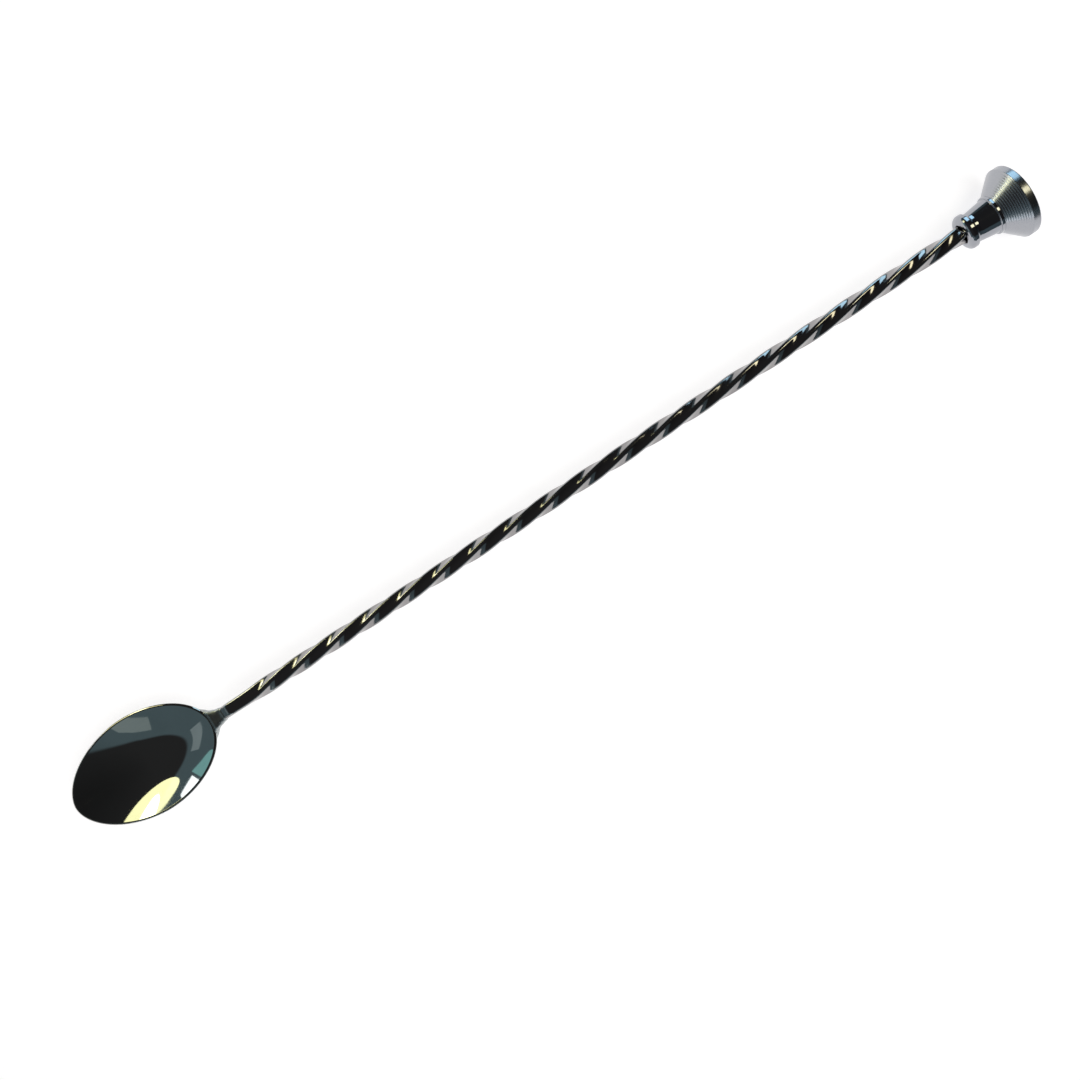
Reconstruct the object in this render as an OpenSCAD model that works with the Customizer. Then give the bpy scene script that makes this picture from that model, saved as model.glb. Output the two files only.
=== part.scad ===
// Bar spoon with a twisted square stem and a screwed-on cap.
//
// The spoon lies along X with its bowl at -X, opening up, and its cap at +X.
// The origin is under the middle of the spoon, on the surface it lies on, and
// +Z is up. The bowl's bottom and the rim of the cap's foot both touch z = 0,
// so the stem runs level at the height of the foot's radius.
// All sizes are in millimetres.

/* [Spoon] */
// Overall length, from the tip of the bowl to the end face of the foot
overall_length = 280; // [240:5:400]

/* [Bowl] */
// Length of the bowl's rim, from its tip to its heel
bowl_length = 43.6; // [40:0.2:48]
// Width of the rim at the widest place
bowl_width = 26.9; // [23:0.1:30]
// Height of the rim above the surface that the spoon lies on
rim_height = 8.2; // [7:0.1:8.6]
// Extra height of the rim at the tip
tip_rise = 0.8; // [0:0.1:1.5]
// Thickness of the stamped sheet
sheet = 1.1; // [0.8:0.1:1.4]

/* [Stem] */
// Width of the square bar across its flats
bar_flats = 3.7; // [3.2:0.1:4]
// Radius along the bar's long edges
bar_edge = 0.9; // [0.5:0.1:1.1]
// Length of the stem in which the twist makes one full left-handed turn
twist_pitch = 43; // [30:0.5:80]
// Length of plain, untwisted bar next to the bowl
plain_neck = 9.8; // [8:0.2:16]

/* [Cap] */
// Length of the whole cap along the stem
cap_length = 15; // [14.5:0.5:20]
// Diameter of the foot's wide end
foot_diameter = 18; // [17:0.1:20]
// Diameter of the flange around the collar's mouth
flange_diameter = 8.8; // [8.4:0.1:9.4]
// Diameter of the screw thread that holds the cap
thread_diameter = 3; // [2.5:0.5:3]

/* [Hidden] */

steel = [0.62, 0.60, 0.57];
weld_steel = [0.45, 0.44, 0.44];
bright_steel = [0.74, 0.78, 0.84];

// Places along X and the height of the stem's axis
tip_x = -overall_length / 2;
end_x = overall_length / 2;
heel_x = tip_x + bowl_length;
mouth_x = end_x - cap_length;
axis_z = foot_diameter / 2;

// Bowl: the rim is two half superellipses that meet at the widest place.
// A power of 2 is an ellipse, and less than 2 is more pointed.
front_length = 0.505 * bowl_length;
back_length = bowl_length - front_length;
widest_x = tip_x + front_length;
front_power = 1.85;
back_power = 1.97;
inner_bow = 1.5;       // how soon the dish turns straight on its way to the rim
outer_bow = 4;
flat_share = 0.15;     // share of the way to the rim over which the underside is flat
rim_land = 0.45 * sheet;  // the edge is ground thinner than the sheet
rim_side = 0.5 * sheet;  // height of the upright side of the rim
around = 64;           // points around the rim
rings = 14;            // rings from the middle to the rim

// Neck: the bar's front end dips towards the bowl and gets a little slimmer
neck_start_x = heel_x + 0.8;
bend_start = 2;        // length of the neck's lowest part
bend_length = 4.4;
neck_dip = 1.3;
neck_flats = 3.45;
neck_tip_flats = 2.6;
swell_length = 22;     // length in which the neck widens to the full bar
twist_start_x = neck_start_x + plain_neck;
twist_lead_in = 6;     // length in which the twist gathers to its full rate
neck_step = 0.7;
twist_step = twist_pitch / 24;

// Weld between the bowl's heel and the bar
weld_start_x = heel_x - 5;
weld_full_x = heel_x - 2.1;   // the bead is at its widest from here on
weld_end_x = heel_x + 4.6;
weld_half_width = 4.7;
weld_half_height = 1.35;
weld_flare_power = 2.2;       // how late the bead flares out
weld_step = 0.45;
weld_skin = 0.12;      // how far the bead stands proud of the bar
weld_top_drop = 0.25;  // how far the bead's top stays below the bowl's rim
weld_top_blend = 2;    // length in which the bead's top steps down to that
weld_roundness = 0.95; // edge radius of the wide end as a share of its half height

// Cap: distances along it are measured from its mouth
bar_corner_radius = sqrt(2) * (bar_flats / 2 - bar_edge) + bar_edge;
mouth_radius = bar_corner_radius + 0.15;
mouth_depth = 3;
mouth_end_gap = 0.1;   // gap between the bar's end and the bottom of the mouth
bar_end_x = mouth_x + mouth_depth - mouth_end_gap;
root = 1;              // length of the threaded end that is rooted in the bar
thread_radius = thread_diameter / 2;
thread_clearance = 0.05;
thread_length = 6.5;
flange_radius = flange_diameter / 2;
dome_length = 1.2;     // length of the flange's rounded face
flange_end = 2;
groove_radius = flange_radius - 0.55;
groove_start = 2.4;
groove_end = 3.3;
collar_length = 8.6;
collar_radius = flange_radius + 0.1;
lip_radius = collar_radius + 0.4;
lip_length = 0.8;
tenon_radius = 3.2;
tenon_length = 3;
foot_radius = foot_diameter / 2;
foot_band = 2;         // length of the straight band at the foot's wide end
cone_edge = 0.12;      // chamfer between the cone and the band
foot_chamfer = 0.35;
small_chamfer = 0.2;
smooth = 96;           // $fn of the turned shapes

function smoothstep(t) = let (u = min(max(t, 0), 1)) u * u * (3 - 2 * u);

// ---- Bowl ----

// Point on the rim at angle t, with the rim's edge set back by inset.
// x and y are measured from the widest place on the centre line.
function rim_point(t, inset) =
    let (
        c = cos(t),
        s = sin(t),
        back = c >= 0,
        power = back ? back_power : front_power,
        reach = (back ? back_length : front_length) - inset,
        half_width = bowl_width / 2 - inset
    )
    [sign(c) * reach * pow(abs(c), 2 / power), sign(s) * half_width * pow(abs(s), 2 / power)];

// Height of the rim, which rises towards the tip
function rim_z(x) = rim_height + tip_rise * pow(max(-x, 0) / front_length, 2);

// Share of its height that a wall has reached at share r of the way to the rim. It is a
// hyperbola: round at the bottom and nearly straight further up, the more so for a high bow.
function dish(r, bow) = (sqrt(1 + bow * bow * r * r) - 1) / (sqrt(1 + bow * bow) - 1);

// Points at height share rise of a wall, at share r of the way to a rim set back by inset
function bowl_ring(r, rise, inset, floor_z, drop) = [
    for (i = [0:around - 1])
        let (p = rim_point(360 * i / around, inset))
        [widest_x + r * p[0], r * p[1], floor_z + (rim_z(p[0]) - drop - floor_z) * rise]
];

// The inner wall, from its middle to the inner edge of the rim's land
inner_wall = [
    [widest_x, 0, sheet],
    for (k = [1:rings])
        let (r = k / rings)
        each bowl_ring(r, dish(r, inner_bow), rim_land, sheet, 0)
];

// The outer wall, from its middle to the rim's upright side, and up that side
outer_wall = [
    [widest_x, 0, 0],
    for (k = [1:rings])
        let (r = k / rings, past_flat = max(r - flat_share, 0) / (1 - flat_share))
        each bowl_ring(r, dish(past_flat, outer_bow), 0, 0, rim_side),
    each bowl_ring(1, 1, 0, 0, 0)
];

// Triangles of a wall that has this many rings, with its first point at index first
function wall_faces(first, ring_count, upward) = [
    for (i = [0:around - 1])
        let (j = (i + 1) % around, a = first + 1 + i, b = first + 1 + j)
        upward ? [first, b, a] : [first, a, b],
    for (k = [0:ring_count - 2], i = [0:around - 1])
        let (
            j = (i + 1) % around,
            a = first + 1 + k * around + i,
            b = first + 1 + k * around + j,
            c = b + around,
            d = a + around
        )
        each upward ? [[a, b, c], [a, c, d]] : [[a, c, b], [a, d, c]]
];

// The space inside the bowl's outer surface, up to its rim
module bowl_outside() {
    top = len(outer_wall);
    last = top - around;
    points = concat(outer_wall, [[widest_x, 0, rim_height]]);
    lid = [for (i = [0:around - 1]) [top, last + (i + 1) % around, last + i]];
    polyhedron(points, concat(wall_faces(0, rings + 1, false), lid), convexity = 4);
}

module bowl() {
    count = len(outer_wall);
    outer_edge = count - around;
    inner_edge = count + len(inner_wall) - around;
    land = [
        for (i = [0:around - 1])
            let (j = (i + 1) % around)
            each [
                [outer_edge + i, inner_edge + j, outer_edge + j],
                [outer_edge + i, inner_edge + i, inner_edge + j]
            ]
    ];
    color(steel)
        polyhedron(
            concat(outer_wall, inner_wall),
            concat(wall_faces(0, rings + 1, false), wall_faces(count, rings, true), land),
            convexity = 6
        );
}

// ---- Stem ----

// Outline of a bar of half width w and half height h with rounded edges
function bar_outline(w, h, edge) = [
    for (q = [0:3], k = [0:2])
        let (
            a = 90 * q + 45 * k,
            side = [[1, 1], [-1, 1], [-1, -1], [1, -1]][q]
        )
        [side[0] * (w - edge) + edge * cos(a), side[1] * (h - edge) + edge * sin(a)]
];

// Outline turned by angle, at place x, with its middle at height z
function bar_ring(x, z, w, h, edge, angle) = [
    for (p = bar_outline(w, h, edge))
        [x, p[0] * cos(angle) - p[1] * sin(angle), z + p[0] * sin(angle) + p[1] * cos(angle)]
];

// Length over which the twist has run at x, with a gentle start
function twisted_length(x) =
    let (run = max(x - twist_start_x, 0))
    run < twist_lead_in ? run * run / (2 * twist_lead_in) : run - twist_lead_in / 2;

function twist_angle(x) = -360 * twisted_length(x) / twist_pitch;

// How far the bar has bent down towards the bowl: 1 at its front end, 0 after the bend
function bend(x) = 1 - smoothstep((x - neck_start_x - bend_start) / bend_length);

function stem_ring(x) =
    let (
        full = neck_flats + (bar_flats - neck_flats) * smoothstep((x - neck_start_x) / swell_length),
        half_width = full / 2,
        half_height = (full + (neck_tip_flats - full) * bend(x)) / 2
    )
    bar_ring(x, axis_z - neck_dip * bend(x), half_width, half_height, bar_edge, twist_angle(x));

// A solid skinned over rings that all have the same number of points
module skin(loops) {
    n = len(loops[0]);
    m = len(loops);
    sides = [
        for (k = [0:m - 2], i = [0:n - 1])
            let (a = k * n + i, b = k * n + (i + 1) % n)
            each [[a, b + n, b], [a, a + n, b + n]]
    ];
    front = [for (i = [0:n - 1]) i];
    back = [for (i = [0:n - 1]) (m - 1) * n + n - 1 - i];
    polyhedron([for (loop = loops) each loop], concat([front, back], sides), convexity = 10);
}

// Turns a profile of [radius, distance along X] points about the stem's axis
module turned(start_x, profile) {
    translate([start_x, 0, axis_z])
        rotate([0, 90, 0])
            rotate_extrude($fn = smooth)
                polygon(profile);
}

module bar() {
    places = concat(
        [for (x = [neck_start_x:neck_step:twist_start_x - neck_step / 2]) x],
        [for (x = [twist_start_x:twist_step:bar_end_x - twist_step / 2]) x],
        [bar_end_x]
    );
    skin([for (x = places) stem_ring(x)]);
}

module stem() {
    color(steel) {
        bar();
        turned(bar_end_x - root, [
            [0, 0],
            [thread_radius, 0],
            [thread_radius, root + thread_length - small_chamfer],
            [thread_radius - small_chamfer, root + thread_length],
            [0, root + thread_length]
        ]);
    }
}

// ---- Weld ----

// The bead flares from the bar to the bowl's heel: 0 at the bar, 1 at its widest
function flare(x) = pow(min((weld_end_x - x) / (weld_end_x - weld_full_x), 1), weld_flare_power);

function weld_ring(x) =
    let (
        f = flare(x),
        bar_half_width = neck_flats / 2 + weld_skin,
        bar_half_height = (neck_flats + (neck_tip_flats - neck_flats) * bend(x)) / 2 + weld_skin,
        half_width = bar_half_width + (weld_half_width - bar_half_width) * f,
        half_height = bar_half_height + (weld_half_height - bar_half_height) * f,
        top = axis_z - neck_dip * bend(x) + bar_half_height,
        front_top = rim_height - weld_top_drop,
        drop = smoothstep((neck_start_x - x) / weld_top_blend),
        z = top + (front_top - top) * drop - half_height,
        edge = bar_edge + (weld_roundness * half_height - bar_edge) * f
    )
    bar_ring(x, z, half_width, half_height, edge, 0);

module neck_weld() {
    color(weld_steel)
        difference() {
            skin([for (x = [weld_start_x:weld_step:weld_end_x]) weld_ring(x)]);
            bowl_outside();
            bar();
        }
}

// ---- Cap ----

// Rounded face of the flange: a quarter of an ellipse from the mouth to its widest place
function dome() =
    let (inner_radius = mouth_radius + small_chamfer, width = flange_radius - inner_radius)
    [for (t = [0:15:90]) [inner_radius + width * sin(t), dome_length * (1 - cos(t))]];

module cap_collar() {
    tenon_end = collar_length + tenon_length;
    tapped_radius = thread_radius + thread_clearance;
    color(bright_steel)
        turned(mouth_x, concat(
            [[mouth_radius, small_chamfer]],
            dome(),
            [
                [flange_radius, flange_end - small_chamfer],
                [flange_radius - small_chamfer, flange_end],
                [groove_radius, groove_start],
                [groove_radius, groove_end],
                [collar_radius, collar_length - lip_length],
                [lip_radius, collar_length - lip_length],
                [lip_radius, collar_length],
                [tenon_radius, collar_length],
                [tenon_radius, tenon_end],
                [tapped_radius, tenon_end],
                [tapped_radius, mouth_depth],
                [mouth_radius, mouth_depth]
            ]
        ));
}

module cap_foot() {
    socket_end = collar_length + tenon_length;
    color(bright_steel)
        turned(mouth_x, [
            [0, socket_end],
            [tenon_radius, socket_end],
            [tenon_radius, collar_length],
            [lip_radius, collar_length],
            [foot_radius - cone_edge, cap_length - foot_band],
            [foot_radius, cap_length - foot_band + cone_edge],
            [foot_radius, cap_length - foot_chamfer],
            [foot_radius - foot_chamfer, cap_length],
            [0, cap_length]
        ]);
}

bowl();
neck_weld();
stem();
cap_collar();
cap_foot();
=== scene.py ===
# %% [markdown]
# # A bar spoon with a twisted stem
#
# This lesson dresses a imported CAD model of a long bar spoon. The spoon lies on a table
# along X, with its bowl at -X and its cap at +X. It is made of five pieces of stainless
# steel: a stamped bowl, a dressed weld, a twisted square bar, a turned collar and a
# turned foot. The CAD solids have the right sizes but flat facets, so each one is
# replaced by a smooth surface that numpy works out from the same few sizes.
#
# Everything is in metres. `MM` turns the maker's millimetres into metres.

# %% Load the frame
import math

import bmesh
import bpy
import numpy as np
from mathutils import Matrix, Vector


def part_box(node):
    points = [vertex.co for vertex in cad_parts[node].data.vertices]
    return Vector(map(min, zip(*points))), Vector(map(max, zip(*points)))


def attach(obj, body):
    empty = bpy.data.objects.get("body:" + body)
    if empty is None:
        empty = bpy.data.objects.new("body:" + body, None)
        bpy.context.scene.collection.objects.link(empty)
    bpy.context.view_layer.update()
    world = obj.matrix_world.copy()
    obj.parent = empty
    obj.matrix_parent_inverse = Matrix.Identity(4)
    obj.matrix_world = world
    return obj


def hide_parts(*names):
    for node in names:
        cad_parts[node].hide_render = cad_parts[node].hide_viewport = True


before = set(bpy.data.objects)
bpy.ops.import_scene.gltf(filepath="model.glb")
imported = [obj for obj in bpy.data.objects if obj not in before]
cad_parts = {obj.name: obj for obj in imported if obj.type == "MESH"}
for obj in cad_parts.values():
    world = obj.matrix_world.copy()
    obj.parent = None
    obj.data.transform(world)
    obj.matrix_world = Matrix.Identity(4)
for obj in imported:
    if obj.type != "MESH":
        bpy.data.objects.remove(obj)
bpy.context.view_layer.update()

MM = 0.001

# %% Read the driving places off the CAD nodes
boxes = {name: np.array(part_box(name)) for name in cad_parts}
tip_x, heel_x = boxes["bowl"][0][0], boxes["bowl"][1][0]
bowl_width = boxes["bowl"][1][1] - boxes["bowl"][0][1]
bar_start_x, thread_end_x = boxes["stem"][0][0], boxes["stem"][1][0]
mouth_x, end_x = boxes["cap_collar"][0][0], boxes["cap_foot"][1][0]
collar_end_x = boxes["cap_foot"][0][0]
foot_radius = (boxes["cap_foot"][1][2] - boxes["cap_foot"][0][2]) / 2
axis_z = (boxes["cap_foot"][1][2] + boxes["cap_foot"][0][2]) / 2
print("stem axis at", round(axis_z / MM, 2), "mm, cap from", round(mouth_x / MM, 2), "mm")

# %% [markdown]
# ## Camera
#
# A spoon like this is looked at from close above, so it shows strong perspective: the
# camera hangs about 25 cm over the middle of the stem. It could be placed by hand, but a
# direction, a distance and a roll say more. `back` is the direction from the target to
# the camera, and the roll turns the picture until the stem rises to the upper right.

# %% Camera
camera_target = Vector((1.0 * MM, -6.7 * MM, axis_z))
camera_back = Vector((0.0910, -0.0249, 0.9955)).normalized()
camera_distance = 253.6 * MM
camera_up = Vector((0.5398, 0.8413, -0.0283))
camera_lens = 33.96     # mm, on a sensor 36 mm wide

camera_data = bpy.data.cameras.new("camera")
camera_data.lens = camera_lens
camera_data.sensor_width = 36
camera_data.clip_start = 0.01
camera = bpy.data.objects.new("camera", camera_data)
bpy.context.collection.objects.link(camera)
right = camera_up.cross(camera_back).normalized()
up = camera_back.cross(right)
place = camera_target + camera_back * camera_distance
turned = Matrix((right, up, camera_back)).transposed().to_4x4()
camera.matrix_world = Matrix.Translation(place) @ turned
bpy.context.scene.camera = camera
print("camera at", [round(c / MM, 1) for c in place], "mm")

# %% [markdown]
# ## A skin over a grid of points
#
# Every piece here is a grid: rows along the piece and columns around it. One helper
# turns such a grid into a closed mesh. A row whose points all fall together is a pole,
# and merging its doubles turns its squares into triangles. The sign of the volume tells
# whether the faces point in or out.

# %% Grid helper
def skin(name, grid, along, around, body, node, values=None):
    """A closed surface over grid[row, column] = (x, y, z), whose columns wrap around.
    along and around are the same points' distances in mm along and round the piece, for
    the UV map, and values is one number per row and column, kept as a point attribute. Where
    it is 1 the steel takes a lighter colour, for rub wear plus a painted highlight."""
    rows, cols = grid.shape[:2]
    r, c = np.meshgrid(np.arange(rows - 1), np.arange(cols), indexing="ij")
    corner_rows = np.stack([r, r, r + 1, r + 1], -1).reshape(-1, 4)
    corner_cols = np.stack([c, c + 1, c + 1, c], -1).reshape(-1, 4)
    faces = corner_rows * cols + corner_cols % cols
    mesh = bpy.data.meshes.new(name)
    mesh.from_pydata(grid.reshape(-1, 3).tolist(), [], faces.tolist())
    wide = np.concatenate([around, around[:, :1] + 2 * around[:, -1:] - around[:, -2:-1]
                           - around[:, :1]], axis=1)
    long = np.concatenate([along, along[:, :1]], axis=1)
    uv = np.stack([long[corner_rows, corner_cols], wide[corner_rows, corner_cols]], -1)
    layer = mesh.uv_layers.new(name="maker_mm")
    layer.data.foreach_set("uv", uv.reshape(-1).astype(np.float32))
    # Per-point mark for the steel: rub wear plus a painted highlight where it is 1.
    wear_and_sheen = mesh.attributes.new("wear_and_sheen", "FLOAT", "POINT")
    wear_and_sheen_values = np.zeros((rows, cols)) if values is None else values
    wear_and_sheen.data.foreach_set("value", wear_and_sheen_values.reshape(-1).astype(np.float32))
    bm = bmesh.new()
    bm.from_mesh(mesh)
    bmesh.ops.remove_doubles(bm, verts=bm.verts, dist=1e-7)
    if bm.calc_volume(signed=True) < 0:
        bmesh.ops.reverse_faces(bm, faces=bm.faces)
    open_edges = sum(1 for e in bm.edges if not e.is_manifold)
    volume = bm.calc_volume() / MM**3
    bm.to_mesh(mesh)
    bm.free()
    mesh.shade_smooth()
    piece = bpy.data.objects.new(name, mesh)
    bpy.context.collection.objects.link(piece)
    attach(piece, body)
    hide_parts(node)
    print(f"{name}: {len(mesh.polygons)} faces, {volume:.1f} mm3, {open_edges} open edges")
    return piece


def smoothstep(t):
    """3t^2 - 2t^3 between 0 and 1, flat outside."""
    t = np.clip(t, 0.0, 1.0)
    return t * t * (3.0 - 2.0 * t)


def run_length(points):
    """Distance in mm travelled from the first point of each column down to each row."""
    steps = np.linalg.norm(np.diff(points, axis=0), axis=-1)
    return np.concatenate([np.zeros((1,) + steps.shape[1:]), np.cumsum(steps, 0)]) / MM


def girth(points):
    """Distance in mm round each row, from its first column to each column."""
    steps = np.linalg.norm(np.diff(points, axis=1), axis=-1)
    return np.concatenate([np.zeros((len(points), 1)), np.cumsum(steps, 1)], axis=1) / MM


def ripple(x, y, z, size, seed):
    """A smooth wavy value between about -1 and 1: the mean of six sine waves that run
    in fixed scattered directions, with wavelengths near size."""
    rng = np.random.default_rng(seed)
    waves = rng.normal(size=(6, 3))
    waves *= (2 * np.pi / size) / np.linalg.norm(waves, axis=1, keepdims=True)
    waves *= rng.uniform(0.7, 1.5, size=(6, 1))
    phases = rng.uniform(0, 2 * np.pi, size=6)
    return sum(np.sin(w[0] * x + w[1] * y + w[2] * z + p) for w, p in zip(waves, phases)) / 3

# %% [markdown]
# ## The bowl
#
# On the real spoon this is a disc of sheet about a millimetre thick, stamped into an oval
# dish and polished like a mirror. It could be a scaled sphere cut in half, but its outline
# is more pointed at the tip than at the heel, and a mirror shows every fault in a curve. So
# the rim is two half superellipses that meet at the widest place, and the dish is a
# hyperbola: round at the bottom and nearly straight further up.
#
# The rim isn't a sharp edge: the land between the two walls curves down towards the outside,
# and an upright side below it catches the light of the table.

# %% Shape of the rim and the dish
bowl_length = heel_x - tip_x
front_length = 0.505 * bowl_length
back_length = bowl_length - front_length
widest_x = tip_x + front_length
front_power, back_power = 1.85, 1.97
inner_bow, outer_bow, flat_share = 1.5, 4.0, 0.15
sheet = 1.1 * MM
rim_land, rim_side = 0.45 * sheet, 0.5 * sheet
tip_rise = 0.8 * MM
rim_height = boxes["bowl"][1][2] - tip_rise


def rim_point(t, inset):
    """Rim at angle t: x = a |cos t|^(2/p) and y = b |sin t|^(2/p) with their signs, where
    a, b and p are the half sizes and the power of that half, and inset shrinks a and b."""
    back = np.cos(t) >= 0
    power = np.where(back, back_power, front_power)
    reach = np.where(back, back_length, front_length) - inset
    x = np.sign(np.cos(t)) * reach * np.abs(np.cos(t)) ** (2 / power)
    y = np.sign(np.sin(t)) * (bowl_width / 2 - inset) * np.abs(np.sin(t)) ** (2 / power)
    return x, y


def rim_z(x):
    """Height of the rim: level, then rising as the square of the way to the tip."""
    return rim_height + tip_rise * (np.maximum(-x, 0) / front_length) ** 2


def dish(share, bow):
    """Share of its height that a wall has reached at a share of the way to the rim:
    (sqrt(1 + (bow share)^2) - 1) / (sqrt(1 + bow^2) - 1)."""
    return (np.sqrt(1 + (bow * share) ** 2) - 1) / (math.sqrt(1 + bow**2) - 1)

# %% Build the bowl
bowl_columns, wall_rows, rim_rows = 240, 70, 16
bevel, bevel_power = 0.3 * MM, 1.6     # fall of the land from its inner to its outer edge
wall_spacing = 0.8                     # below 1, the wall's rows gather towards the rim
stretch_marks, stretch_size = 0.004 * MM, 9 * MM


def bowl_grid():
    """Rows run from the middle of the inner wall up to the rim, over it, down its upright
    side and down the outer wall to the middle below. Across the land its height falls by
    bevel * p^bevel_power, where p is the share of the way from its inner to outer edge."""
    t = np.linspace(0, 2 * np.pi, bowl_columns, endpoint=False)[None, :]
    wall = (np.linspace(0, 1, wall_rows) ** wall_spacing)[:, None]
    across = np.linspace(0, 1, rim_rows + 1)[1:, None]
    side = np.linspace(0, 1, 5)[1:-1, None]
    down = wall[::-1]
    past_flat = np.maximum(down - flat_share, 0) / (1 - flat_share)
    share = np.concatenate([wall, np.ones_like(across), np.ones_like(side), down])
    set_back = np.concatenate([np.ones_like(wall), 1 - across, 0 * side, 0 * down])
    x, y = rim_point(t, set_back * rim_land)
    top = rim_z(x)
    inner = sheet + (top[:wall_rows] - sheet) * dish(wall, inner_bow)
    rim = top[wall_rows:wall_rows + rim_rows] - bevel * across**bevel_power
    upright = top[-1] - bevel - (rim_side - bevel) * side
    outer = (top[-1] - rim_side) * dish(past_flat, outer_bow)
    x, y = widest_x + share * x, share * y
    marks = stretch_marks * ripple(x, y, 0 * x, stretch_size, seed=3) * (1 - share**8)
    marks[wall_rows:] = 0
    z = np.concatenate([inner, rim, upright, outer]) + marks
    return np.stack([x, y, z], -1)


bowl_points = bowl_grid()
# The rim land takes a lighter, warmer colour: rub wear plus a painted highlight.
rim_wear_and_sheen = np.zeros(bowl_points.shape[:2])
rim_wear_and_sheen[wall_rows:wall_rows + rim_rows] = 1
bowl = skin("bowl_polished", bowl_points, bowl_points[..., 0] / MM, bowl_points[..., 1] / MM,
            "spoon", "bowl", rim_wear_and_sheen)

# %% [markdown]
# ## The twisted bar
#
# The stem is one length of square bar. Near the bowl it is plain and dips a little, and
# then it is twisted to the left, about one turn in 43 mm. It could be a straight bar with a
# twist modifier, but the twist starts gently and the neck is slimmer, so each row of the
# grid is a rounded square of its own size, height and turn.
#
# Its far end is turned down round and threaded. It only shows when the cap is off, and a
# thread is easy here: the radius of a row depends on how far round and how far along it is.

# %% Size of the bar at each place
bar_flats, neck_flats, neck_tip_flats = 3.7 * MM, 3.45 * MM, 2.6 * MM
bar_edge = 0.9 * MM
twist_pitch = 43 * MM
plain_neck, twist_lead_in = 9.8 * MM, 6 * MM
bend_start, bend_length, neck_dip, swell_length = 2 * MM, 4.4 * MM, 1.3 * MM, 22 * MM
hollow = 0.08 * MM      # how far in the flats are at their middle, on the twisted part
row_step = 0.45 * MM
twist_start_x = bar_start_x + plain_neck
mouth_depth, mouth_end_gap = 3 * MM, 0.1 * MM
bar_end_x = mouth_x + mouth_depth - mouth_end_gap
thread_radius, thread_pitch, thread_depth = 1.5 * MM, 0.5 * MM, 0.27 * MM
thread_start_fade, thread_end_fade, relief = 0.8 * MM, 0.5 * MM, 0.9


def bend(x):
    """1 at the bar's front end and 0 once the neck has risen to the stem's height."""
    return 1 - smoothstep((x - bar_start_x - bend_start) / bend_length)


def twist_angle(x):
    """Left-handed turn: its rate grows evenly over the lead-in and is then constant."""
    run = np.maximum(x - twist_start_x, 0)
    turned = np.where(run < twist_lead_in, run**2 / (2 * twist_lead_in), run - twist_lead_in / 2)
    return -2 * np.pi * turned / twist_pitch


def square_columns(per_corner, per_flat):
    """Columns round a square with round corners: for each column the corner's signs and
    the angle on its arc. On a flat the angle stands still and the signs slide across."""
    signs = np.array([[1, 1], [-1, 1], [-1, -1], [1, -1], [1, 1]], float)
    sides, angles = [], []
    for q in range(4):
        arc = np.linspace(0, 1, per_corner, endpoint=False)
        flat = np.linspace(0, 1, per_flat, endpoint=False)
        sides += [np.repeat(signs[q][None], per_corner, 0)]
        sides += [signs[q] + (signs[q + 1] - signs[q]) * flat[:, None]]
        angles += [np.pi / 2 * (q + arc), np.full(per_flat, np.pi / 2 * (q + 1))]
    return np.concatenate(sides), np.concatenate(angles)


sides, angles = square_columns(per_corner=9, per_flat=8)


def square_row(width, height, edge, sides, angles):
    """Rounded square: corner signs times (half size - edge), plus edge times (cos, sin)."""
    y = sides[:, 0] * (width / 2 - edge) + edge * np.cos(angles)
    z = sides[:, 1] * (height / 2 - edge) + edge * np.sin(angles)
    return y, z


def bulge(x):
    """Outward shift of each column: -hollow * (1 - s^2) at the place s across its flat, from
    -1 to 1, once the twist has begun. It is 0 on the corners, where both signs are 1."""
    across = np.abs(sides).min(axis=1)
    return -hollow * (1 - across**2) * smoothstep((x - twist_start_x) / twist_lead_in)

# %% Build the bar
def bar_grid():
    """Rows of rounded squares from the neck to the shoulder, each turned by the twist."""
    x = np.concatenate([np.arange(bar_start_x, bar_end_x, row_step), [bar_end_x]])[:, None]
    full = neck_flats + (bar_flats - neck_flats) * smoothstep((x - bar_start_x) / swell_length)
    height = full + (neck_tip_flats - full) * bend(x)
    y, z = square_row(full, height, bar_edge, sides, angles)
    y, z = y + bulge(x) * np.cos(angles), z + bulge(x) * np.sin(angles)
    turn = twist_angle(x)
    drop = neck_dip * bend(x)
    return np.stack([x + 0 * y, y * np.cos(turn) - z * np.sin(turn),
                     axis_z - drop + y * np.sin(turn) + z * np.cos(turn)], -1)


def thread_grid():
    """Rows of circles beyond the shoulder. The radius falls from the crest by the thread's
    depth times |2 f - 1|, where f is the fraction of (distance / pitch - turn). At both ends
    it fades to a plain relief at 0.9 of the depth. The columns keep the square's order, so
    the last row of the bar joins the first circle without a twist."""
    length = thread_end_x - bar_end_x
    x = np.linspace(0, length, 150)[:, None]
    square_start = np.arctan2(*square_row(1.0, 1.0, 0.3, sides, angles)[::-1])[None, :]
    turn = square_start + twist_angle(bar_end_x)
    fraction = np.mod(x / thread_pitch - square_start / (2 * np.pi), 1.0)
    groove = np.abs(2 * fraction - 1)
    fade = smoothstep(x / thread_start_fade) * smoothstep((length - x) / thread_end_fade)
    radius = thread_radius - thread_depth * (groove * fade + relief * (1 - fade))
    return np.stack([bar_end_x + x + 0 * radius, radius * np.cos(turn),
                     axis_z + radius * np.sin(turn)], -1)


def pole(x, z):
    """A row whose points all fall together on the axis."""
    return np.broadcast_to([x, 0.0, z], (1, len(sides), 3))


bar_rows, thread_rows = bar_grid(), thread_grid()
bar_points = np.concatenate([pole(bar_start_x, axis_z - neck_dip), bar_rows, thread_rows,
                             pole(thread_end_x, axis_z)])
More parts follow.
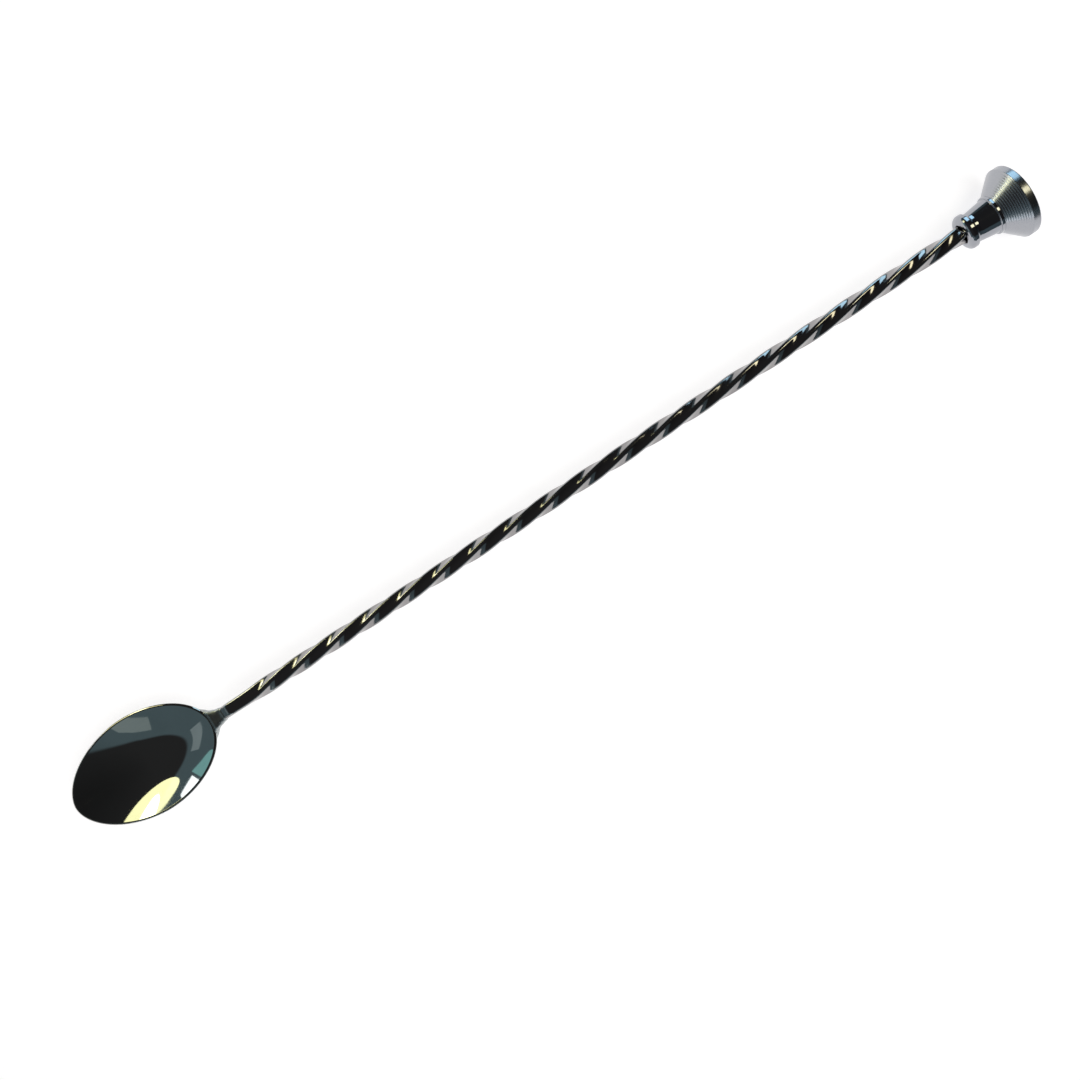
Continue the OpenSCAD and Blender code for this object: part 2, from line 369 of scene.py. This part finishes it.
# The ridges take a lighter colour, most at each corner's middle: rub wear plus a painted
# highlight.
off_corner = np.abs(np.mod(angles, np.pi / 2) - np.pi / 4) / (np.pi / 4)
ridge_wear_and_sheen = np.tile(1 - off_corner, (len(bar_points), 1))
bar = skin("twisted_bar", bar_points, run_length(bar_points), girth(bar_points),
           "spoon", "stem", ridge_wear_and_sheen)

# %% [markdown]
# ## The weld at the neck
#
# The bowl is joined to the bar by a bead of weld that was ground smooth by hand: it flares
# from the bar into the bowl's heel and keeps a slightly lumpy, duller skin. It could be
# sculpted, but the flare is a simple rule: the section grows as a power of the way to the
# bowl. Its front rows stop at the middle of the bowl's wall, so nothing shows inside.

# %% Build the weld
bead_end_x, bead_full_x, bead_start_x = (heel_x + d * MM for d in (4.6, -2.1, -5.0))
bead_half_width, bead_half_height = 4.7 * MM, 1.35 * MM
bead_flare, bead_skin, bead_roundness = 2.2, 0.12 * MM, 0.95
bead_top_drop, bead_top_blend = 0.25 * MM, 2 * MM
bead_lumps, bead_lump_size = 0.06 * MM, 1.7 * MM
bead_lead_in, bead_tuck, bead_radius = 0.12, 0.25 * MM, 1.9 * MM
front_fade = 0.1        # share of the bead's length over which the lumps fade at the bowl


def wall_x(y, z):
    """Place along X of the middle of the bowl's wall, behind its widest place, at (y, z):
    the dish's hyperbola solved for the share of the way to the rim, and then the rim's
    superellipse for x."""
    middle_bow, floor, inset = 2.3, sheet / 2, rim_land / 2
    rise = np.clip((z - floor) / (rim_height - rim_side / 2 - floor), 0.01, 1)
    rise = 1 + rise * (math.sqrt(1 + middle_bow**2) - 1)
    share = np.sqrt(rise**2 - 1) / middle_bow
    share = flat_share / 2 + (1 - flat_share / 2) * share
    left = share**back_power - (np.abs(y) / (bowl_width / 2 - inset)) ** back_power
    return widest_x + (back_length - inset) * np.maximum(left, 0) ** (1 / back_power)


def bead_section(x):
    """Rounded box at place x. The flare f = (way to the bowl)^power moves its half sizes
    from the bar's to the bowl's, and its top slides down from the neck's to the rim's."""
    f = np.clip((bead_end_x - x) / (bead_end_x - bead_full_x), 0, 1) ** bead_flare
    bar_w = neck_flats / 2 + bead_skin
    bar_h = (neck_flats + (neck_tip_flats - neck_flats) * bend(x)) / 2 + bead_skin
    w = bar_w + (bead_half_width - bar_w) * f
    h = bar_h + (bead_half_height - bar_h) * f
    edge = bar_edge + (bead_roundness * h - bar_edge) * f
    top = axis_z - neck_dip * bend(x) + bar_h
    front_top = rim_height - bead_top_drop
    top = top + (front_top - top) * smoothstep((bar_start_x - x) / bead_top_blend)
    y, z = square_row(2 * w, 2 * h, edge, sides, angles)
    return y, z + top - h


def bead_grid():
    """For each column the front is where the flare meets the wall, found by halving. Rows
    run from the pole inside the bar to that front, and then close along the wall. Over the
    lead-in the section grows by bead_tuck, from inside the bar's skin to outside it."""
    near = np.full((1, len(sides)), bead_start_x)
    far = np.full((1, len(sides)), bead_end_x)
    for _ in range(40):
        mid = (near + far) / 2
        y, z = bead_section(mid)
        ahead = mid > wall_x(y, z)
        near, far = np.where(ahead, near, mid), np.where(ahead, mid, far)
    v = np.linspace(0, 1, 60)[:, None]
    x = bead_end_x + (far - bead_end_x) * v
    y, z = bead_section(x)
    settle = smoothstep(v / bead_lead_in)
    calm = settle * smoothstep((1 - v) / front_fade)
    lump = bead_lumps * ripple(x, y, z, bead_lump_size, seed=11) * calm
    middle = axis_z - neck_dip * bend(x)
    spread = 1 + (lump - (1 - settle) * bead_tuck) / bead_radius
    y, z = y * spread, middle + (z - middle) * spread
    rows = np.stack([x, y, z], -1)
    shrink = np.linspace(1, 0, 12)[1:, None]
    cy, cz = rows[-1, :, 1].mean(), rows[-1, :, 2].mean()
    cap_y = cy + (rows[-1:, :, 1] - cy) * shrink
    cap_z = cz + (rows[-1:, :, 2] - cz) * shrink
    cap = np.stack([wall_x(cap_y, cap_z), cap_y, cap_z], -1)
    start = pole(bead_end_x, axis_z)
    return np.concatenate([start, rows, cap])


bead_points = bead_grid()
bead = skin("dressed_weld", bead_points, run_length(bead_points), girth(bead_points),
            "spoon", "neck_weld")

# %% [markdown]
# ## Turned pieces
#
# The collar and the foot come off a lathe, so both are a profile turned about the stem's
# axis. A profile is a short list of corners, each with the radius that the tool left
# there. The corners are rounded by arcs and the lines between them are cut into short
# steps, so that shading stays flat on the flats.

# %% Profile helpers
turned_columns = 160
sharpest = 0.01 * MM    # smallest rounding of a corner


def rounded_profile(corners, step=0.12 * MM):
    """Path through corners (distance, radius, rounding): at each corner an arc tangent to
    both sides, which starts rounding / tan(half the corner's angle) from the corner, and
    even steps between the arcs."""
    pts = np.array([c[:2] for c in corners], float)
    path = [pts[0]]
    for i in range(1, len(pts) - 1):
        a, b = pts[i - 1] - pts[i], pts[i + 1] - pts[i]
        a, b = a / np.linalg.norm(a), b / np.linalg.norm(b)
        half = math.acos(float(np.clip(a @ b, -1, 1))) / 2
        rounding = max(corners[i][2], sharpest)
        reach = rounding / math.tan(half)
        centre = pts[i] + (a + b) / np.linalg.norm(a + b) * rounding / math.sin(half)
        start, end = pts[i] + a * reach - centre, pts[i] + b * reach - centre
        sweep = np.linspace(0, 1, 8)[:, None]
        arc = start * (1 - sweep) + end * sweep
        path += list(centre + rounding * arc / np.linalg.norm(arc, axis=1, keepdims=True))
    path += [pts[-1]]
    out = [path[0][None]]
    for p, q in zip(path[:-1], path[1:]):
        n = max(1, int(np.ceil(np.linalg.norm(q - p) / step)))
        out += [p + (q - p) * (np.arange(1, n + 1) / n)[:, None]]
    return np.concatenate(out)


def turned_grid(profile, lift=None):
    """Each profile point (a, r) swept round the axis: y = r cos t and z = axis + r sin t.
    lift(a, r, t), where given, is added to r."""
    t = np.linspace(0, 2 * np.pi, turned_columns, endpoint=False)[None, :]
    a, r = profile[:, :1], profile[:, 1:]
    r = r + 0 * t if lift is None else r + lift(a, r, t)
    return np.stack([mouth_x + a + 0 * r, r * np.cos(t), axis_z + r * np.sin(t)], -1)

# %% [markdown]
# ### Collar
#
# The collar has a rounded flange around its mouth, a groove behind it, a plain taper and a
# thin lip where it meets the foot. Inside it has a short wide mouth for the square bar and
# a tapped hole. The tapped hole is a wavy wall: the radius only ever grows from the drilled
# size, so the bar's thread passes it freely in every pose.

# %% Build the collar
flange_radius, flange_end, dome_length = 4.4 * MM, 2 * MM, 1.2 * MM
bar_corner_radius = math.sqrt(2) * (bar_flats / 2 - bar_edge) + bar_edge
mouth_radius, mouth_chamfer = bar_corner_radius + 0.15 * MM, 0.2 * MM
groove_radius, groove_start, groove_end = flange_radius - 0.55 * MM, 2.4 * MM, 3.3 * MM
collar_length = collar_end_x - mouth_x
collar_radius = flange_radius + 0.1 * MM
lip_radius, lip_length = collar_radius + 0.4 * MM, 0.8 * MM
tenon_radius, tenon_end = 3.2 * MM, boxes["cap_collar"][1][0] - mouth_x
tapped_radius = thread_radius + 0.05 * MM
hair = 0.001 * MM


def dome_corners():
    """The flange's face as a quarter of an ellipse, cut into seven soft corners."""
    inner = mouth_radius + mouth_chamfer
    turns = np.radians(np.arange(0, 91, 15))
    return [(dome_length * (1 - math.cos(t)), inner + (flange_radius - inner) * math.sin(t),
             0.3 * MM) for t in turns]


collar_corners = [
    (mouth_depth, tapped_radius, 0),
    (mouth_depth, mouth_radius, 0.1 * MM),
    (mouth_chamfer, mouth_radius, 0.1 * MM),
    *dome_corners(),
    (flange_end, flange_radius, 0.16 * MM),
    (groove_start, groove_radius, 0.4 * MM),
    (groove_end, groove_radius, 1.5 * MM),
    (collar_length - lip_length, collar_radius, 0.12 * MM),
    (collar_length - lip_length, lip_radius, 0.22 * MM),
    (collar_length, lip_radius, 0.08 * MM),
    (collar_length, tenon_radius, 0.05 * MM),
    (tenon_end, tenon_radius, 0.1 * MM),
    (tenon_end, tapped_radius, 0.05 * MM),
    (mouth_depth, tapped_radius, 0),
]


def tapped(a, r, t):
    """Thread in the drilled hole: inside the tapped length r grows by depth * (1 - |2 f - 1|),
    where f is the fraction of (distance / pitch - turn). The profile's first and last ring
    lie at the mouth's depth and stay plain, a hair clear of rounding, so that they meet."""
    inside = (r < tapped_radius + 0.02 * MM) & (a > mouth_depth + hair) & (a < tenon_end)
    fraction = np.mod(a / thread_pitch - t / (2 * np.pi), 1.0)
    return np.where(inside, thread_depth * (1 - np.abs(2 * fraction - 1)), 0.0)


collar_profile = rounded_profile(collar_corners, step=0.09 * MM)
collar_points = turned_grid(collar_profile, tapped)
collar = skin("turned_collar", collar_points, run_length(collar_points), girth(collar_points),
              "cap", "cap_collar")

# %% [markdown]
# ### Foot
#
# The foot is a cone that ends in a short polished band and a flat face. The lathe tool
# left fine grooves on the cone and shallower ones on the face. They are real geometry here,
# because they are wide enough to break up a reflection: a sine along the cone, a fiftieth
# of a millimetre deep.

# %% Build the foot
foot_band, cone_edge, foot_chamfer = 2 * MM, 0.12 * MM, 0.35 * MM
cap_length = end_x - mouth_x
cone_pitch, cone_groove = 0.4 * MM, 0.018 * MM
face_pitch, face_groove = 0.5 * MM, 0.012 * MM
groove_fade = 0.3 * MM
face_margin, face_eye = 0.7 * MM, 0.4 * MM      # plain ring outside and plain spot inside

foot_corners = [
    (tenon_end, 0, 0),
    (tenon_end, tenon_radius, 0.05 * MM),
    (collar_length, tenon_radius, 0.05 * MM),
    (collar_length, lip_radius, 0.06 * MM),
    (cap_length - foot_band, foot_radius - cone_edge, 0.15 * MM),
    (cap_length - foot_band + cone_edge, foot_radius, 0.15 * MM),
    (cap_length, foot_radius, foot_chamfer),
    (cap_length, 0, 0),
]


def foot_profile():
    """The rounded corners, with a sine cut into the cone along its own normal and a
    shallower one into the end face, both fading out at their ends."""
    p = rounded_profile(foot_corners, step=0.06 * MM)
    a, r = p[:, 0], p[:, 1]
    on_cone = (r > tenon_radius) * smoothstep((a - collar_length) / groove_fade)
    on_cone = on_cone * smoothstep((cap_length - foot_band - a) / groove_fade)
    on_face = (a > cap_length - 0.001 * MM) * smoothstep((r - face_eye) / face_eye)
    on_face = on_face * smoothstep((foot_radius - face_margin - r) / groove_fade)
    cut = 0.5 + 0.5 * np.cos(2 * np.pi * a / cone_pitch)
    face_cut = 0.5 + 0.5 * np.cos(2 * np.pi * r / face_pitch)
    slope = math.atan2(foot_radius - lip_radius, cap_length - foot_band - collar_length)
    a = a + on_cone * cone_groove * cut * math.sin(slope) - on_face * face_groove * face_cut
    r = r - on_cone * cone_groove * cut * math.cos(slope)
    return np.stack([a, r], -1)


foot_points = turned_grid(foot_profile())
foot = skin("turned_foot", foot_points, run_length(foot_points), girth(foot_points),
            "cap", "cap_foot")

# %% [markdown]
# ## Steel
#
# Every piece is stainless steel, so one recipe serves them all with different numbers. A
# mirror finish isn't perfectly even: handling leaves faint smears that are a little
# rougher, and polishing leaves hair-fine lines. The smears come from a soft noise, the
# lines from a noise stretched along the polishing direction, and both also shift the
# colour a little. A number kept on each point marks the rim and the ridges, where hands and
# glasses rub: there the colour turns lighter, for rub wear plus a painted highlight.

# %% Steel recipe
def node_maker(tree):
    """Returns a function that adds a node to the tree. Each value given to it is a link, if
    it is a socket, or a constant of the input of that name, or else a setting."""
    def add(kind, **inputs):
        node = tree.nodes.new(kind)
        for key, value in inputs.items():
            if key in node.inputs:
                if isinstance(value, bpy.types.NodeSocket):
                    tree.links.new(value, node.inputs[key])
                else:
                    node.inputs[key].default_value = value
            else:
                setattr(node, key, value)
        return node
    return add


def blend(add, factor, first, second):
    """Colour that runs from first at factor 0 to second at 1. Each is a colour or a
    socket. The node has sockets of one name for each kind of value, so they are picked
    by kind."""
    mix = add("ShaderNodeMix", data_type="RGBA", Factor=factor)
    for socket, value in zip([s for s in mix.inputs if s.type == "RGBA"], (first, second)):
        if isinstance(value, bpy.types.NodeSocket):
            mix.id_data.links.new(value, socket)
        else:
            socket.default_value = (*value, 1)
    return next(s for s in mix.outputs if s.type == "RGBA")


smear_scale, speck_scale, speck_share = 55.0, 900.0, 0.25
smear_start, smear_full = 0.38, 0.68    # values of the noise where smears begin and are full


def steel(piece, name, bright, dull, shine, smear, grain_scale, grain_depth, wear_and_sheen_colour,
          use_uv=False):
    """Metal whose colour runs from bright to dull and whose roughness runs from shine to
    shine + smear, both by smears times grain. Its bump is the grain, a noise stretched by
    grain_scale = (x, y, z), with a share of fine specks added."""
    material = bpy.data.materials.new(name)
    material.use_nodes = True
    tree = material.node_tree
    add = node_maker(tree)
    shader = tree.nodes["Principled BSDF"]
    coords = add("ShaderNodeTexCoord")
    place = coords.outputs["Object"]
    grain_place = coords.outputs["UV"] if use_uv else place
    smears = add("ShaderNodeTexNoise", Vector=place, Scale=smear_scale, Detail=5.0,
                 Roughness=0.62)
    stretched = add("ShaderNodeMapping", Vector=grain_place, Scale=grain_scale)
    grain = add("ShaderNodeTexNoise", Vector=stretched.outputs[0], Scale=1.0, Detail=4.0,
                Roughness=0.6)
    specks = add("ShaderNodeTexNoise", Vector=place, Scale=speck_scale, Detail=3.0,
                 Roughness=0.7)
    wear_and_sheen = add("ShaderNodeAttribute", attribute_name="wear_and_sheen")
    soft = add("ShaderNodeMapRange", Value=smears.outputs["Fac"])
    soft.inputs["From Min"].default_value = smear_start
    soft.inputs["From Max"].default_value = smear_full
    lined = add("ShaderNodeMath", operation="MULTIPLY")
    tree.links.new(soft.outputs[0], lined.inputs[0])
    tree.links.new(grain.outputs["Fac"], lined.inputs[1])
    colour = blend(add, lined.outputs[0], bright, dull)
    # Where the point's mark is 1 the colour turns to the lighter worn colour: rub wear plus a
    # painted highlight.
    wear_and_sheen_tinted = blend(add, wear_and_sheen.outputs["Fac"], colour, wear_and_sheen_colour)
    tree.links.new(wear_and_sheen_tinted, shader.inputs["Base Color"])
    rough = add("ShaderNodeMapRange", Value=lined.outputs[0])
    rough.inputs["To Min"].default_value = shine
    rough.inputs["To Max"].default_value = shine + smear
    tree.links.new(rough.outputs[0], shader.inputs["Roughness"])
    heights = add("ShaderNodeMath", operation="MULTIPLY_ADD")
    tree.links.new(specks.outputs["Fac"], heights.inputs[0])
    heights.inputs[1].default_value = speck_share
    tree.links.new(grain.outputs["Fac"], heights.inputs[2])
    bump = add("ShaderNodeBump", Height=heights.outputs[0], Distance=grain_depth, Strength=1.0)
    tree.links.new(bump.outputs[0], shader.inputs["Normal"])
    shader.inputs["Metallic"].default_value = 1.0
    piece.data.materials.clear()
    piece.data.materials.append(material)
    print(f"{name}: roughness {shine:.2f} to {shine + smear:.2f}")
    return material

# %% Finishes of the pieces
# worn is the lighter colour on the marked rim and ridges: rub wear plus a painted highlight.
steel(bowl, "mirror_steel", (0.42, 0.43, 0.42), (0.36, 0.37, 0.36), 0.03, 0.06,
      (60.0, 1500.0, 1500.0), 0.0000006, wear_and_sheen_colour=(0.44, 0.42, 0.39))
steel(bar, "twisted_steel", (0.35, 0.34, 0.34), (0.24, 0.23, 0.23), 0.09, 0.16,
      (0.12, 5.0, 1.0), 0.000005, wear_and_sheen_colour=(0.38, 0.38, 0.38), use_uv=True)
steel(bead, "weld_steel", (0.46, 0.49, 0.49), (0.13, 0.14, 0.14), 0.38, 0.25,
      (1600.0, 1600.0, 1600.0), 0.00008, wear_and_sheen_colour=(0.4, 0.4, 0.4))
steel(collar, "turned_polished_steel", (0.36, 0.37, 0.40), (0.27, 0.28, 0.31), 0.08, 0.08,
      (6.0, 0.05, 1.0), 0.000003, wear_and_sheen_colour=(0.5, 0.5, 0.5), use_uv=True)
steel(foot, "grooved_steel", (0.38, 0.39, 0.42), (0.28, 0.29, 0.32), 0.23, 0.08,
      (7.0, 0.05, 1.0), 0.000004, wear_and_sheen_colour=(0.5, 0.5, 0.5), use_uv=True)

# %% [markdown]
# ## Table and light
#
# Polished steel shows its surroundings more than itself, so the light is most of its look.
# The table is plain and pale. The room above is dim, with a cool wall beyond the bowl. Soft
# panels stand in it: a broad warm one and a cool one on the far side, a warm one overhead,
# and a few low ones near the horizon that edge the round pieces with light. The last one,
# the key, only lights the table, for a soft shadow: the steel doesn't reflect it.

# %% Table
def table():
    """A plain pale square, a hair under the spoon, so that no two faces coincide."""
    half_size, level = 5.0, -0.02 * MM
    mesh = bpy.data.meshes.new("table")
    turns = ((-1, -1), (1, -1), (1, 1), (-1, 1))
    corners = [(half_size * x, half_size * y, level) for x, y in turns]
    mesh.from_pydata(corners, [], [(0, 1, 2, 3)])
    plane = bpy.data.objects.new("table", mesh)
    bpy.context.collection.objects.link(plane)
    material = bpy.data.materials.new("table_white")
    material.use_nodes = True
    shader = material.node_tree.nodes["Principled BSDF"]
    shader.inputs["Base Color"].default_value = (0.50, 0.50, 0.50, 1)
    shader.inputs["Roughness"].default_value = 0.7
    shader.inputs["Emission Color"].default_value = (1.0, 0.985, 1.0, 1)
    shader.inputs["Emission Strength"].default_value = 0.80
    mesh.materials.append(material)
    return plane


table()

# %% Lights
def toward(azimuth, elevation):
    """Unit vector at an angle from +X towards +Y and an angle above the table."""
    a, e = math.radians(azimuth), math.radians(elevation)
    return Vector((math.cos(e) * math.cos(a), math.cos(e) * math.sin(a), math.sin(e)))


def panel(name, aim, direction, distance, size, radiance, colour, roll=0.0, shape="RECTANGLE"):
    """A flat soft light, distance away from aim along direction, facing aim and rolled
    about that line. Its power is pi times its area times the radiance that a mirror would
    see in it."""
    data = bpy.data.lights.new(name, "AREA")
    data.shape = shape
    data.size, data.size_y = size
    area = size[0] * size[1] * (math.pi / 4 if shape == "ELLIPSE" else 1)
    data.energy = math.pi * area * radiance
    data.color = colour
    light = bpy.data.objects.new(name, data)
    bpy.context.collection.objects.link(light)
    facing = direction.to_track_quat("Z", "Y").to_matrix().to_4x4()
    turn = Matrix.Rotation(math.radians(roll), 4, "Z")
    light.matrix_world = Matrix.Translation(Vector(aim) + direction * distance) @ facing @ turn
    return light


bowl_middle = (widest_x, 0, axis_z)
cap_middle = ((mouth_x + end_x) / 2, 0, axis_z)
panel("warm_window", bowl_middle, toward(112, 20.5), 0.9, (0.62, 0.22), 2.5, (1.0, 0.97, 0.52),
      roll=-27, shape="ELLIPSE")
panel("warm_lamp", cap_middle, toward(136, 12.5), 0.5, (0.09, 0.06), 5, (1.0, 0.97, 0.72),
      shape="ELLIPSE")
panel("cool_window", cap_middle, toward(64, 22), 0.9, (0.24, 0.48), 2.4, (0.50, 0.80, 1.0))
panel("overhead", cap_middle, toward(12, 65), 0.9, (0.25, 0.36), 3.0, (1.0, 0.92, 0.60),
      shape="ELLIPSE")
panel("white_window", bowl_middle, toward(130.5, 3.5), 2.4, (0.42, 0.24), 2.6, (0.95, 0.98, 1.0))
panel("teal_blind", bowl_middle, toward(145, 4.2), 2.4, (0.66, 0.22), 0.6, (0.35, 0.85, 0.80),
      roll=-6)
panel("wall_board", bowl_middle, toward(170, 14), 2.4, (1.25, 0.20), 0.22, (0.90, 1.0, 1.0))
panel("pale_wall", bowl_middle, toward(-124, 15), 2.4, (0.80, 0.34), 0.20, (0.92, 1.0, 0.92))
panel("far_window", cap_middle, toward(-134, 2.0), 2.4, (0.80, 0.16), 2.4, (0.85, 0.95, 1.0))
key = panel("key", (0, 0, 0), toward(-60, 66), 0.9, (0.55, 0.55), 3.6, (1.0, 1.0, 1.0))
key.visible_glossy = False

# %% Room
wall_colour, ceiling_colour = (0.115, 0.165, 0.185), (0.034, 0.034, 0.035)
wall_lean, wall_top, ceiling_start = 0.12, 0.35, 0.40
bright_side, dim_side, dim_strength = -0.3, 0.6, 0.45


def room():
    """World light by direction (X, Y, Z): a cool grey wall where Z + lean * Y is small and a
    dim ceiling where it is large. All of it gets dimmer from bright_side to dim_side, two
    values of X."""
    world = bpy.data.worlds.new("room")
    world.use_nodes = True
    bpy.context.scene.world = world
    tree = world.node_tree
    add = node_maker(tree)
    coords = add("ShaderNodeTexCoord")
    split = add("ShaderNodeSeparateXYZ", Vector=coords.outputs["Generated"])
    lean = add("ShaderNodeMath", operation="MULTIPLY_ADD")
    tree.links.new(split.outputs["Y"], lean.inputs[0])
    lean.inputs[1].default_value = wall_lean
    tree.links.new(split.outputs["Z"], lean.inputs[2])
    edge = add("ShaderNodeMapRange", interpolation_type="SMOOTHSTEP", Value=lean.outputs[0])
    edge.inputs["From Min"].default_value = wall_top
    edge.inputs["From Max"].default_value = ceiling_start
    side = add("ShaderNodeMapRange", Value=split.outputs["X"])
    side.inputs["From Min"].default_value = bright_side
    side.inputs["From Max"].default_value = dim_side
    side.inputs["To Min"].default_value = 1.0
    side.inputs["To Max"].default_value = dim_strength
    background = tree.nodes["Background"]
    colour = blend(add, edge.outputs[0], wall_colour, ceiling_colour)
    tree.links.new(colour, background.inputs["Color"])
    tree.links.new(side.outputs[0], background.inputs["Strength"])


room()
bpy.context.scene.view_settings.view_transform = "Standard"
